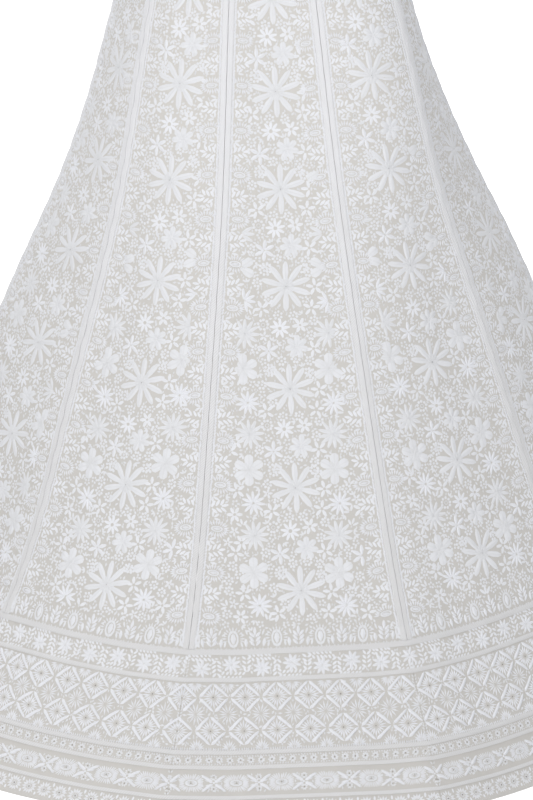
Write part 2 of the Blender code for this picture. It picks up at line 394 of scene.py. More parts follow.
def makeKali(kali):
    rowCount = int(skirt["length"] / kaliCloth["rowPitch"])
    rows = np.linspace(skirt["seamGap"], skirt["length"] - kaliCloth["hemTurn"], rowCount)
    rows = np.concatenate([rows, skirt["length"] - np.array(kaliCloth["hemRows"])])[:, None]
    widths = kaliWidth(rows)
    edge = 0.5 - skirt["seamGap"] / 2 / widths
    across = np.linspace(-1, 1, kaliCloth["columns"])[None, :] * edge
    # the turned hem is a little thicker than the cloth, and rolls in at its very edge
    fromHem = skirt["length"] - rows
    thicker = smoothstep((kaliCloth["hemLiftFrom"] - fromHem) / 0.001)
    lift = kaliCloth["hemLift"] * thicker * smoothstep((fromHem - kaliCloth["hemRollTo"]) / 0.002)
    outer = onCloth(kali + across, rows, lift)
    inner = onCloth(kali + across, rows, -skirt["wall"] - lift)
    places = placeVectors(kali, across * widths, rows)
    piece = wallPiece(f"kaliCloth{kali + 1:02d}", outer, inner, places, georgette)
    return keep(piece, f"kali_{kali + 1:02d}")


for kali in range(skirt["kalis"]):
    shown["kalis"].append(makeKali(kali))
print("kalis:", len(shown["kalis"]))


# cream edging strips and border tapes; profiles are heights above the cloth in millimetres
edging = {
    "width": 0.0065,
    "seamLine": 0.0005,
    "lift": 0.0003,
    "undersideShare": 0.3,
    "rowPitch": 0.006,
    "profile": (0.85, 1.0, 1.05, 0.9, 0.85, 0.9, 1.0, 0.8, 0.3),
}
tapeProfile = {
    "a": (0.5, 1.1, 0.8, 1.1, 0.5),
    "b": (0.5, 1.0, 1.0, 0.5),
    "c": (0.5, 1.1, 0.9, 1.1, 0.5),
    "d": (0.5, 1.0, 0.5),
    "e": (0.5, 1.0, 0.5),
}
tapeStepsPerKali = 32


def makeEdging(kali, side):
    middle, width = borderTapes["a"]
    end = middle - width / 2 - skirt["seamGap"]
    rows = np.linspace(skirt["seamGap"], end, int(end / edging["rowPitch"]))[:, None]
    widths = kaliWidth(rows)
    high = np.array(edging["profile"]) / 1000
    share = np.linspace(0, 1, len(high))[None, :]
    fromSeam = edging["seamLine"] / 2 + share * (edging["width"] - edging["seamLine"] / 2)
    sign = -1 if side == "left" else 1
    across = sign * (0.5 - fromSeam / widths)
    if side == "right":
        across = across[:, ::-1]
        high = high[::-1]
    outer = onCloth(kali + across, rows, edging["lift"] + high[None, :])
    inner = onCloth(kali + across, rows, edging["lift"] * edging["undersideShare"])
    places = placeVectors(kali, across * widths, rows)
    piece = wallPiece(f"edgingStrip{kali + 1:02d}{side}", outer, inner, places, creamTape)
    return keep(piece, f"edging_{kali + 1:02d}_{side}")


def makeBorderTape(letter):
    middle, width = borderTapes[letter]
    high = np.array(tapeProfile[letter]) / 1000
    rows = np.linspace(middle - width / 2, middle + width / 2, len(high))[:, None]
    places = np.arange(-skirt["kalis"] / 2, skirt["kalis"] / 2, 1 / tapeStepsPerKali)[None, :]
    outer = onCloth(places, rows, edging["lift"] + high[:, None])
    inner = onCloth(places, rows, edging["lift"] * edging["undersideShare"])
    along = placeVectors(0, places * kaliWidth(rows), rows)
    piece = wallPiece(f"borderTape{letter}", outer, inner, along, creamTape, closedRound=True)
    return keep(piece, f"border_tape_{letter}")


for kali in range(skirt["kalis"]):
    shown["edgings"].append([makeEdging(kali, "left"), makeEdging(kali, "right")])
for letter in borderTapes:
    shown["tapes"].append(makeBorderTape(letter))
print("edging strips and border tapes made")


waistband = {
    "base": 0.0008,
    "height": 0.035,
    "wall": 0.0028,
    "lap": 0.032,
    "lapStep": 0.020,
    "placket": 2.5,
    "face": 0.0013,
    "stepsRound": 240,
    "stepsOnLap": 16,
    # rounded folds, and a shallow valley along each row of stitching: height, how far it stands out
    "profile": (
        (0.0, -0.0013), (0.0012, -0.0003), (0.003, 0.0), (0.0045, -0.0005), (0.006, 0.0), (0.0175, 0.0003),
        (0.029, 0.0), (0.0305, -0.0005), (0.032, 0.0), (0.0338, -0.0003), (0.035, -0.0013),
    ),
}


def makeWaistband():
    girth = formGirths[0]
    lapping = np.linspace(girth, girth + waistband["lap"], waistband["stepsOnLap"])[1:]
    along = np.concatenate([np.linspace(0, girth, waistband["stepsRound"]), lapping])
    onTop = smoothstep((along - (girth - waistband["lapStep"])) / waistband["lapStep"])
    rise = onTop * (waistband["wall"] + skirt["seamGap"])
    up, puff = np.array(waistband["profile"]).T
    places = waistband["placket"] + along / girth * skirt["kalis"]
    points = onCloth(places, 0.0, 0.0)
    outward = onCloth(places, 0.0, 1.0) - points
    outward[:, 2] = 0
    outward /= np.linalg.norm(outward, axis=1, keepdims=True)
    face = waistband["face"] + rise
    heights = np.zeros((len(up), len(along), 3))
    heights[..., 2] = (waistband["base"] + up[::-1])[:, None]
    bulge = puff[::-1][:, None, None]
    outer = points[None] + outward[None] * (face[None, :, None] + bulge) + heights
    inner = points[None] + outward[None] * (face[None, :, None] - waistband["wall"] - bulge) + heights
    values = placeVectors(0, along[None, :] + 0 * heights[..., 0], heights[..., 2])
    piece = wallPiece("waistbandCloth", outer, inner, values, doubledCloth)
    return keep(piece, "waistband")


waistbandCloth = makeWaistband()
print("waistband made")


# stitch shapes, each modelled once here and then copied by the thousand: sides of the outline, size of the
# flat top (0 is a plain ridge), how wide the inner and outer ends are, and how the top leans to the outer end
shapeKinds = {
    "petal": (8, 0.66, 0.75, 0.95, 0.02),
    "starPetal": (10, 0.74, 0.7, 1.15, 0.0),
    "broadPetal": (10, 0.78, 0.75, 1.2, 0.0),
    "stitch": (6, 0.0, 0.95, 1.0, 0.0),
    "bar": (8, 0.6, 1.35, 1.35, 0.0),
    "ray": (4, 0.0, 1.0, 1.0, 0.0),
    "knot": (6, 0.0, 1.0, 1.0, 0.0),
    "hole": (8, 0.0, 1.0, 1.0, 0.0),
}


def selectPoints(piece, test):
    bpy.ops.object.mode_set(mode="OBJECT")
    for vertex in piece.data.vertices:
        vertex.select = test(vertex.co)
    bpy.ops.object.mode_set(mode="EDIT")


def takeShape(piece):
    bpy.ops.mesh.select_all(action="SELECT")
    bpy.ops.mesh.normals_make_consistent(inside=False)
    bpy.ops.object.mode_set(mode="OBJECT")
    piece.data.calc_loop_triangles()
    points = np.array([vertex.co for vertex in piece.data.vertices])
    faces = np.array([triangle.vertices for triangle in piece.data.loop_triangles])
    bpy.data.objects.remove(piece)
    return points, faces


def domedShape(sides, top, innerEnd, outerEnd, lean):
    # one unit long and wide, on the cloth at height 0, with its top at height 1
    bpy.ops.mesh.primitive_circle_add(vertices=sides, radius=0.5, fill_type="NGON")
    piece = bpy.context.object
    bpy.ops.object.mode_set(mode="EDIT")
    bpy.context.tool_settings.mesh_select_mode = (True, False, False)
    bpy.ops.mesh.select_all(action="SELECT")
    bpy.ops.mesh.extrude_region_move(TRANSFORM_OT_translate={"value": (lean, 0, 1)})
    if top:
        bpy.ops.transform.resize(value=(top + 0.10, top, 1))
    else:
        bpy.ops.mesh.merge(type="CENTER")
    for side, share in ((-1, innerEnd), (1, outerEnd)):
        selectPoints(piece, lambda at: side * at.x > 0.2)
        bpy.ops.transform.resize(value=(1, share, 1))
    return takeShape(piece)


def loopShape():
    bpy.ops.mesh.primitive_torus_add(major_segments=10, minor_segments=3, major_radius=0.4, minor_radius=0.11)
    piece = bpy.context.object
    bpy.ops.object.mode_set(mode="EDIT")
    bpy.ops.mesh.select_all(action="SELECT")
    bpy.ops.transform.resize(value=(1, 1, 3.5))
    bpy.ops.transform.translate(value=(0, 0, 0.4))
    return takeShape(piece)


stitchShapes = {name: domedShape(*kind) for name, kind in shapeKinds.items()}
stitchShapes["loop"] = loopShape()
print("stitch shapes:", {name: len(faces) for name, (points, faces) in stitchShapes.items()})


# motifs are in millimetres: across to the right, down the cloth
# rings of petals: shape, how many, from this radius, to this one, width, height, tone (0 is cream, 1 white)
# and the first one's angle
flowers = {
    "bigStar": (
        ("starPetal", 10, 2, 29.8, 7.6, 0.6, 0.55, 90),
        ("broadPetal", 10, -1, 9.8, 5, 0.66, 0.4, 72),
    ),
    "roundFlower": (
        ("broadPetal", 6, 3.5, 18.4, 10.8, 0.6, 0.55, 90),
        ("broadPetal", 6, -2, 10, 7, 0.62, 0.4, 60),
    ),
    "smallRound": (("broadPetal", 7, 1.5, 13.8, 7.1, 0.65, 0.55, 90), ("knot", 1, -3, 3, 6, 1, 0.5, 0)),
    "daisy": (("petal", 11, 0.4, 14.6, 4, 0.85, 0.95, 90),),
    "paleStar": (("petal", 12, 1, 18, 4.9, 0.6, 0.55, 90), ("broadPetal", 6, -1.5, 8.8, 6.6, 0.8, 0.4, 75)),
    "thinDaisy": (("stitch", 9, 0.6, 12.6, 4.2, 0.95, 1, 90),),
    "sixStar": (("petal", 6, 0, 12.8, 5, 0.9, 0.85, 90),),
    "sixSmall": (("stitch", 6, 0.5, 10, 4.6, 0.95, 0.8, 60),),
    "fiveStar": (("stitch", 5, 0.4, 11, 4.6, 0.95, 0.8, 90),),
    "berry": (("knot", 7, 2.2, 6.2, 3.5, 1, 0.75, 30), ("knot", 1, -1.7, 1.7, 3.4, 1.1, 0.6, 0)),
    "bigBerry": (("knot", 10, 4.4, 8.4, 3.6, 1, 0.75, 0), ("knot", 5, 0.9, 4.4, 3.2, 1.1, 0.6, 20)),
    "ringBerry": (("knot", 9, 3.6, 7.6, 3.6, 1, 0.75, 0), ("loop", 1, -2.4, 2.4, 4.8, 1, 0.6, 0)),
    "seedStar": (("stitch", 5, 0.2, 6.6, 3.1, 0.9, 0.75, 90),),
    "seedBerry": (("knot", 5, 1.3, 4.7, 3, 1, 0.65, 90),),
    "vineDaisy": (("petal", 9, 0.4, 11, 4, 0.95, 0.8, 90),),
    "rosette": (("ray", 14, 2.4, 10.6, 3.2, 0.95, 0.65, 90), ("loop", 1, -2.4, 2.4, 4.8, 1, 0.55, 0)),
    "eyeletRing": (("stitch", 8, 0.9, 4.4, 2.4, 1, 0.6, 0),),
    "crossRing": (("ray", 8, 0.9, 4.4, 2.4, 0.9, 0.5, 20),),
}
eyelets = {"bigStar": 0.7, "rosette": 0.7, "eyeletRing": 0.75}  # which have a pierced eyelet, and its radius

# one repeat of the field: kind, across, down, turn
field = (
    ("bigStar", 0, 0, 0), ("fiveStar", 33, 1, 10), ("berry", -32, -4, 0),
    ("berry", -20, -20, 0), ("berry", 22, -19, 0), ("berry", 8, -34, 0),
    ("berry", -20, 15, 0), ("berry", 57, 1, 0), ("daisy", -48, 16, 0),
    ("daisy", 49, 17, 0), ("fiveStar", -28, 26, 20), ("fiveStar", 29, 24, -8),
    ("berry", -9, 32, 0), ("berry", 8, 32, 0), ("fiveStar", -66, 3, 15),
    ("sixSmall", -70, 30, 0), ("fiveStar", 74, 25, -12), ("berry", 31, 38, 0),
    ("ringBerry", -27, 43, 0), ("thinDaisy", -8, 47, 0), ("sixSmall", 15, 43, 10),
    ("paleStar", -48, 53, 0), ("paleStar", 47, 53, 8), ("berry", 27, 55, 0),
    ("smallRound", 10, 67, 0), ("sixStar", -21, 73, 0), ("berry", -37, 71, 0),
    ("fiveStar", 30, 70, 22), ("berry", 58, 69, 0), ("sixStar", 72, 76, 0),
    ("fiveStar", -71, 72, 30), ("sixSmall", -64, 61, 0), ("berry", -7, 83, 0),
    ("berry", 24, 84, 0), ("bigBerry", -21, 94, 0), ("roundFlower", -51, 93, 0),
    ("roundFlower", 46, 93, 0), ("berry", 27, 98, 0), ("berry", -67, 96, 0),
    ("berry", 69, 98, 0), ("sprig", -62, 43, 100), ("sprig", 63, 43, 70),
    ("sprig", 62, 113, 80), ("sprig", -60, 113, 110), ("sprig", -39, 34, 60),
    ("sprig", 61, 28, 130), ("sprig", -84, 18, 150), ("sprig", 86, 46, 40),
    ("sprig", -84, 84, 130), ("sprig", 86, 96, 60), ("fiveStar", -86, 50, 0),
    ("fiveStar", 88, 8, 0), ("berry", -82, 0, 0), ("berry", 84, 68, 0),
)
fieldPitch = 115.0
starRows = (2, 118.5, 223.0, 331.0, 442.0, 558.6, 672.2, 791.0)
alternateRows = (-2, 110.0, 213.0, 322.0, 438.0, 554.5, 672.0, 786.5)
# how a kali's field lies on it: millimetres across and down at the waist and at the lowest row, and its slope
fieldShifts = (
    (0, 0, 6, -3, 0.04),
    (-1, 1, 7, -7, -0.02),
    (-4, -4, -10, -10, 0.02),
    (0, 1, 2, 4, 0.03),
    (-1, -2, 3, -3, -0.02),
    (0, 2, -4, 2, 0.02),
    (1, 0, 2, -4, 0.03),
    (0, -1, -3, 3, -0.04),
    (15, -13, 24, -12, -0.12),
    (2, 1, 6, 5, -0.16),
)
fieldEnds = (6.0, 822.0)
# how far the hand strays: a motif in degrees and millimetres (the large ones turn by the steady share of it),
# and a stitch in millimetres, radians and tone
handStray = {
    "turn": 5,
    "place": 0.8,
    "steady": 0.3,
    "stitchPlace": 0.4,
    "stitchTurn": 0.12,
    "stitchTone": 0.08,
}
sideBand = {
    "top": 3,
    "first": 14,
    "pitch": 50.0,
    "stagger": 6,
    "zone": 31.0,
    "clear": 6.4,
    "eye": (6.8, 10.2, 8),  # from the seam, reach, turn
    # sprays between the eyes: from the seam, down, how they fan out, turn, pairs of leaves, size, tone
    "sprays": ((9.4, 1, 0, -8, 3, 1, 0.95), (11, 0, -11.5, 34, 1, 0.9, 0.8), (11, 0, 11.5, -34, 1, 0.9, 0.8)),
    "chain": (4, 3.4, 7.9, 24),  # from the ends, pitch, from the seam, turn
}
seamRidge = {"top": 861, "bottom": 1047, "pitch": 3.6, "fromSeam": 1.7, "clearOfCross": 11}
# what fills the open cloth: bands down the cloth, clear of the seams; kind, clear radius, darts thrown
fieldFiller = {
    "bands": ((6.0, 847.0),),
    "fromSeam": 10.0,
    "kinds": (
        ("berry", 5.8, 2500), ("seedStar", 5.0, 4000), ("seedBerry", 4.0, 6000),
        ("leaves", 3.2, 8000), ("leaf", 1.9, 9000), ("speck", 1.3, 9000),
    ),
}
borderFiller = {
    "bands": ((861.0, 883.5), (891.5, 964.0), (996.5, 1017.0), (1027.5, 1045.5)),
    "fromSeam": 4.0,
    "kinds": (("leaf", 2.0, 5000), ("speck", 1.4, 9000)),
}
stitchDice = np.random.default_rng(7)


def halfKali(y):
    # half a kali's width, y down the cloth, both in millimetres
    return 500 * float(kaliWidth(y / 1000))


def spreadOver(count, width):
    # places evenly apart, round the kali's middle
    return [((i + 0.5) / count - 0.5) * width for i in range(count)]


def roundAngles(count):
    return [2 * pi * (i + 0.5) / count for i in range(count)]


def sew(rows, shape, x, y, turn, length, width, height, tone):
    rows.append((shape, x, y, turn, length, width, height, tone))


def sewAlong(rows, shape, x, y, turn, start, end, width, height, tone):
    # one stitch that points away from x, y, from start to end; turn is in degrees, 90 is up the skirt
    angle = radians(turn)
    middle = (start + end) / 2
    x, y = x + cos(angle) * middle, y - sin(angle) * middle
    sew(rows, shape, x, y, angle, end - start, width, height, tone)


def sewFlower(rows, kind, x, y, turn=0.0, grow=1.0):
    for shape, count, start, end, width, height, tone, first in flowers[kind]:
        for i in range(count):
            angle = first + turn + 360 * i / count
            sewAlong(rows, shape, x, y, angle, start * grow, end * grow, width * grow, height, tone)
    if kind in eyelets:
        radius = eyelets[kind]
        sew(rows, "hole", x, y, 0.0, 2 * radius, 2 * radius, 1.5, 0.0)


def sewSprig(rows, x, y, turn, pairs=1, grow=1.0, tone=0.8):
    # a little spray: leaves in pairs up a stalk, and one at its tip
    angle = radians(turn)
    pairPitch = 4.6
    size = (3.3 * grow, 0.9, tone)
    for i in range(pairs):
        atX = x + cos(angle) * i * pairPitch * grow
        atY = y - sin(angle) * i * pairPitch * grow
        for spread in (-48, 48):
            sewAlong(rows, "stitch", atX, atY, turn + spread, 0.6, 9.4 * grow, *size)
    tip = pairs * pairPitch
    sewAlong(rows, "stitch", x, y, turn, (tip - 3.4) * grow, (tip + 5.4) * grow, *size)


def sewEye(rows, x, y, turn, grow=1.0):
    # a pointed eye with a leaf in it, and rays all round
    angle = radians(turn)
    rays, firstRay, rayStep = 21, -165, 16.5
    sew(rows, "loop", x, y, angle, 12.4 * grow, 6.2 * grow, 1.0, 0.7)
    sew(rows, "petal", x, y, angle, 8.2 * grow, 3.5 * grow, 0.9, 0.7)
    for i in range(rays):
        away = radians(firstRay + rayStep * i)
        across = 6.0 * grow * cos(away)
        up = 3.0 * grow * sin(away)
        atX = x + cos(angle) * across - sin(angle) * up
        atY = y - sin(angle) * across - cos(angle) * up
        rayTurn = turn + degrees(away) * 0.95
        sewAlong(rows, "ray", atX, atY, rayTurn, 0.0, 7.6 * grow, 2.3 * grow, 1.0, 0.85)


def sewField(rows, kali):
    stars = alternateRows if kali % 2 else starRows
    acrossWaist, downWaist, acrossHem, downHem, slope = fieldShifts[kali]
    for star, nextStar in zip(stars, [*stars[1:], stars[-1] + fieldPitch]):
        stretch = (nextStar - star) / fieldPitch
        low = (star / stars[-1]) ** 3
        shiftAcross = acrossWaist * (1 - low) + acrossHem * low
        shiftDown = downWaist * (1 - low) + downHem * low
        for kind, across, down, turn in field:
            wobble = stitchDice.uniform(-handStray["turn"], handStray["turn"])
            atX = across + shiftAcross + stitchDice.uniform(-handStray["place"], handStray["place"])
            atY = star + shiftDown + down * stretch + slope * across
            atY += stitchDice.uniform(-handStray["place"], handStray["place"])
            if kind == "sprig":
                sewSprig(rows, atX, atY, turn + wobble, 1, 1.0, 0.75)
            else:
                steady = handStray["steady"] if kind in ("bigStar", "roundFlower", "daisy") else 1.0
                sewFlower(rows, kind, atX, atY, turn + wobble * steady)


def sewSides(rows, kali):
    # down each seam: eyes and wheat sprays in turn, and a fine chain beside the strip
    end = (borderTapes["a"][0] - borderTapes["a"][1] / 2) * 1000
    sewn = []
    for side in (-1, 1):
        inward = 180 if side > 0 else 0
        stagger = sideBand["stagger"] if (kali + (side > 0)) % 2 else 0
        for i in range(int(end / sideBand["pitch"]) + 1):
            y = sideBand["first"] + i * sideBand["pitch"] + stagger
            half = halfKali(y)
            grow = min(1.12, 0.70 + 0.50 * max(0.0, half - 30) / 40)  # smaller where the kali is narrow
            fromSeam, reach, turn = sideBand["eye"]
            sewEye(sewn, side * (half - fromSeam - reach * grow), y, inward + turn * side, grow)
            y += sideBand["pitch"] / 2
            half = halfKali(y)
            for fromSeam, down, fan, turn, pairs, size, tone in sideBand["sprays"]:
                atX, atY = side * (half - fromSeam), y + down + fan * grow
                sewSprig(sewn, atX, atY, inward + side * turn, pairs, size * grow, tone)
    for stitch in sewn:
        x, y, turn, length = stitch[1:5]
        reach = abs(x) + abs(cos(turn)) * length / 2
        if sideBand["top"] < y < fieldEnds[1] and reach < halfKali(y) - sideBand["clear"]:
            rows.append(stitch)
    fromEnd, pitch, fromSeam, turn = sideBand["chain"]
    for side in (-1, 1):
        for y in np.arange(fromEnd, end - fromEnd, pitch):
            x = side * (halfKali(y) - fromSeam)
            sew(rows, "stitch", x, y, radians(90 + side * turn), 5.0, 2.7, 1.6, 0.85)


def sowFillers(rows, filler):
    # what is still open cloth between the motifs is sown with berries, small stars, leaves and knots, by
    # seeded darts on a map of the kali that has one cell to a millimetre
    top, bottom = filler["bands"][0][0], filler["bands"][-1][1]
    high, wide = int(bottom) + 20, 340
    taken = np.zeros((high, wide), bool)
    down, across = np.mgrid[0:high, 0:wide]
    half = 500 * kaliWidth(down[:, 0] / 1000)[:, None]
    inBand = np.zeros((high, wide), bool)
    for upper, lower in filler["bands"]:
        inBand |= (down >= upper) & (down <= lower)
    taken[(np.abs(across - wide / 2) > half - filler["fromSeam"]) | ~inBand] = True

    def window(x, y, radius):
        reach = int(ceil(radius)) + 1
        column, row = int(round(x + wide / 2)), int(round(y))
        left, right = max(column - reach, 0), min(column + reach + 1, wide)
        upper, lower = max(row - reach, 0), min(row + reach + 1, high)
        block = (slice(upper, lower), slice(left, right))
        inside = (down[block] - y) ** 2 + (across[block] - wide / 2 - x) ** 2 < radius**2
        return block, inside

    for shape, x, y, turn, length, width, height, tone in rows:
        count = max(1, int(length / (0.6 * width)))  # on the map a stitch is a row of round spots
        for along in spreadOver(count, max(length - width, 0.1)):
            block, inside = window(x + cos(turn) * along, y - sin(turn) * along, width / 2 + 0.3)
            taken[block] |= inside
    for kind, radius, darts in filler["kinds"]:
        for _ in range(darts):
            y = stitchDice.uniform(top, bottom)
            x = stitchDice.uniform(-1, 1) * halfKali(y)
            block, inside = window(x, y, radius)
            if (taken[block] & inside).any():
                continue
            turn = stitchDice.uniform(0, 360)
            if kind == "leaves":
                angle = radians(turn)
                footX, footY = x - 2.4 * cos(angle), y + 2.4 * sin(angle)
                for fan in (-48, 0, 48):
                    sewAlong(rows, "stitch", footX, footY, turn + fan, 0.0, 5.8, 2.6, 0.9, 0.7)
            elif kind == "leaf":
                sewAlong(rows, "ray", x, y, turn, -2.9, 2.9, 2.8, 0.9, 0.6)
            elif kind == "speck":
                sewAlong(rows, "ray", x, y, 60 + turn / 6, -2.2, 2.2, 2.0, 0.9, 0.5)
            else:
                sewFlower(rows, kind, x, y, turn)
            taken[block] |= inside


def keptInField(rows):
    # what would run past the field's ends, or into a seam's own band (narrower up the kali), isn't sewn
    kept = []
    for row in rows:
        x, y, length = row[1], row[2], row[4]
        half = halfKali(y)
        zone = sideBand["zone"] * min(1.0, 0.62 + 0.38 * max(0.0, half - 40) / 30)
        if fieldEnds[0] < y < fieldEnds[1] and abs(x) < half - zone + length * 0.12:
            kept.append(row)
    return kept


# the border's rows, downwards: how far down the cloth each sits, and where the kali's width is taken for it
borderRows = {
    "tallLeaves": (850.5, 840),
    "daisies": (871.9, 871.9),
    "upperDiamonds": (907.8, 907.8),
    "bursts": (927.2, 927),
    "lowerDiamonds": (946.4, 946.4),
    "ladder": (967.8, 968),
    "eyelets": (980.3, 980),
    "medallions": (1006.9, 1006.9),
    "rosettes": (1037.0, 1037.0),
    "hemEdge": (1047.4, 1047),
}
motifsPerKali = 7.5  # fifteen to every two kalis, so that one sits on every other seam


def placeOf(borderRow):
    down, widthAt = borderRows[borderRow]
    return down, 2 * halfKali(widthAt)


def sewTallLeaves(rows):
    # the row that stands on the first border tape: wheat ears, and bulbs under little arches between them
    foot, width = placeOf("tallLeaves")
    ears = 5
    # on both sides of an ear: shape, beside it, above its foot, turn, start, end, width, height, tone
    besideEar = (
        ("petal", 9.8, 0.0, 6, 0.0, 11.0, 4.4, 1.1, 0.80),
        ("stitch", 14.0, 0.0, 14, 0.0, 8.0, 2.8, 1.0, 0.75),
        ("stitch", 8.0, 14.0, 20, 0.0, 8.0, 2.4, 1.0, 0.75),
        ("stitch", 11.5, 13.0, 50, 0.0, 6.5, 2.2, 1.0, 0.75),
    )
    for x in spreadOver(ears, width):
        for pair in range(3):
            for turn in (130, 50):
                sewAlong(rows, "petal", x, foot - 1 - pair * 4.8, turn, 0.6, 9.8, 3.6, 1.1, 0.85)
        sewAlong(rows, "petal", x, foot, 90, 13.0, 24.0, 4.0, 1.1, 0.85)
        for side in (-1, 1):
            for shape, beside, above, turn, *size in besideEar:
                sewAlong(rows, shape, x + side * beside, foot - above, 90 - side * turn, *size)
    for i in range(ears + 1):
        x = (i / ears - 0.5) * width * (0.955 if i in (0, ears) else 1)  # the outer two keep off the seams
        sewAlong(rows, "petal", x, foot, 90, 3.4, 17.0, 6.8, 1.0, 0.7)
        sew(rows, "loop", x, foot - 10.2, radians(90), 20.5, 12.4, 1.1, 0.5)
        for j in range(-6, 7):
            sewAlong(rows, "ray", x, foot - 10.6, 90 + j * 18, 8.0 - 0.25 * abs(j), 14.2, 2.3, 0.9, 0.7)
    for i, x in enumerate(spreadOver(52, width)):
        sewAlong(rows, "stitch", x, foot + 2.2, 90 + (32 if i % 2 else -32), -1.8, 2.6, 1.7, 1.6, 0.5)


def borderPlaces(kali, firstOnSeam):
    # each motif's number, counted round the skirt from the back, and its place on the kali from -0.5 to 0.5;
    # of a motif on a seam each kali has its own half
    start = 0.0 if kali % 2 == (0 if firstOnSeam else 1) else 0.5
    pairsBefore = (kali + skirt["kalis"] // 2 - 1) % skirt["kalis"] // 2
    before = int(2 * motifsPerKali) * pairsBefore + (0 if kali % 2 == 0 else 8 if firstOnSeam else 7)
    return [(before + i, (i + start) / motifsPerKali - 0.5) for i in range(8)]


def sewFlowerRow(rows, kali):
    # between the first two tapes: daisies low and high in turn, and a leafy vine that winds between them
    middle, width = placeOf("daisies")
    sway, vineSway, stray = 2.4, 10.2, 12
    for number, place in borderPlaces(kali, False):
        x = place * width
        between = x + width / motifsPerKali / 2
        up = 1 if number % 2 else -1
        sewFlower(rows, "vineDaisy", x, middle - up * sway, 12 * up)
        sew(rows, "knot", x, middle - up * sway, 0.0, 2.2, 2.2, 1.1, 0.2)
        for side in (-1, 1):
            for j in range(6):
                turn = 90 * side - up * 42 + stitchDice.uniform(-stray, stray)
                leafX = x + (j - 2.5) * 4.5
                sewAlong(rows, "stitch", leafX, middle + up * vineSway, turn, 0.1, 6.2, 3.0, 0.9, 0.85)
            for j in range(4):
                turn = 90 * up - side * 44 + stitchDice.uniform(-stray, stray)
                sewAlong(rows, "stitch", between, middle + (j - 1.5) * 4.8, turn, 0.1, 7.4, 3.2, 0.9, 0.9)


def sewDiamonds(rows, kali):
    # two rows of satin diamonds, each round a pierced sunburst, with bursts of rays in the gaps
    tall, wideShare = 16.8, 0.475
    for name in ("upperDiamonds", "lowerDiamonds"):
        middle, width = placeOf(name)
        wide = width / motifsPerKali * wideShare
        side = hypot(wide, tall)
        lean = degrees(atan2(tall, wide))
        for _, place in borderPlaces(kali, True):
            x = place * width
            for sx, sy in ((-1, -1), (-1, 1), (1, -1), (1, 1)):
                angle = radians(-sx * sy * lean)
                sew(rows, "bar", x + sx * wide / 2, middle - sy * tall / 2, angle, side, 3.1, 1.6, 0.95)
            for away in roundAngles(18):
                reach = 14.8 - 3.2 * abs(sin(2 * away))
                sewAlong(rows, "ray", x, middle, degrees(away), 1.8, reach, 2.3, 1.1, 1.0)
            sew(rows, "hole", x, middle, 0.0, 1.6, 1.6, 1.0, 0.0)
    middle, width = placeOf("bursts")
    burstRays = 14
    for _, place in borderPlaces(kali, False):
        x = place * width
        for y, turn in ((891.2, -90), (968.0, 90)):  # half bursts along the tapes
            for j in range(-4, 5):
                sewAlong(rows, "ray", x, y, turn + j * 19, 1.0, 13.6 - abs(j), 2.3, 0.95, 0.8)
        for j in range(burstRays):
            reach = 11.4 + 3.0 * abs(sin(2 * pi * j / burstRays))
            sewAlong(rows, "ray", x, middle, 360 * j / burstRays, 0.6, reach, 2.3, 0.95, 0.75)
    # a ladder of upright stitches holds the third tape's upper edge
    middle, width = placeOf("ladder")
    for x in spreadOver(108, width):
        sew(rows, "ray", x, middle, radians(90), 5.0, 2.0, 1.6, 0.75)


def sewEyelets(rows):
    middle, width = placeOf("eyelets")
    for i, x in enumerate(spreadOver(25, width)):
        sewFlower(rows, "eyeletRing", x, middle, 10 * (i % 3))
    for x in spreadOver(96, width):
        for fromMiddle, lean in ((-4.5, 28), (4.6, -28)):
            sew(rows, "ray", x, middle + fromMiddle, radians(90 + lean), 3.0, 2.0, 0.9, 0.55)


def sewMedallions(rows):
    # wide sunbursts with crossed satin bars between, packed from seam to seam
    middle, width = placeOf("medallions")
    count = 6
    pitch = width / count
    for x in spreadOver(count, width):
        for away in roundAngles(34):
            turn = degrees(atan2(0.8 * sin(away), cos(away)))
            reach = 7.2 * abs(cos(away)) + 7.2 * abs(sin(away))
            atX, atY = x + 6.4 * cos(away), middle - 3.0 * sin(away)
            sewAlong(rows, "stitch", atX, atY, turn, 0.4, reach, 1.8, 1.0, 0.7)
        sew(rows, "loop", x, middle, 0.0, 14.0, 7.4, 1.0, 0.6)
        for away in roundAngles(12):
            turn = degrees(atan2(0.6 * sin(away), cos(away)))
            reach = 1.8 + 4.4 * abs(cos(away))
            sewAlong(rows, "ray", x + 1.4 * cos(away), middle, turn, 0.2, reach, 1.8, 1.0, 0.5)
        sew(rows, "hole", x, middle, 0.0, 1.3, 1.3, 1.0, 0.0)
    for i in range(count + 1):
        cross = (i - count / 2) * pitch
        for turn, beside in ((35, 19), (145, 161), (215, 199), (325, 341)):
            sewAlong(rows, "bar", cross, middle, turn, 0.8, 17.0, 3.0, 1.5, 0.85)
            sewAlong(rows, "ray", cross, middle, beside, 3.0, 11.5, 2.2, 1.0, 0.6)
        sew(rows, "knot", cross, middle, 0.0, 2.6, 2.6, 1.2, 0.85)
        for y in (middle - 6.8, middle + 6.8):
            sewFlower(rows, "crossRing", cross, y)
            sew(rows, "hole", cross, y, 0.0, 1.3, 1.3, 1.1, 0.0)


def sewHemBand(rows):
    middle, width = placeOf("rosettes")
    count = 16
    for i, x in enumerate(spreadOver(count, width)):
        sewFlower(rows, "rosette", x, middle, 18 * (i % 2), 0.93)
        for y in (middle - 7.0, middle + 7.0):
            sewAlong(rows, "stitch", x + width / count / 2, y, 90, -3.0, 3.0, 3.0, 0.9, 0.8)
    edge, width = placeOf("hemEdge")
    for i, x in enumerate(spreadOver(60, width)):
        sewAlong(rows, "stitch", x, edge, 90 + (30 if i % 2 else -30), -1.7, 2.0, 1.7, 0.8, 0.7)


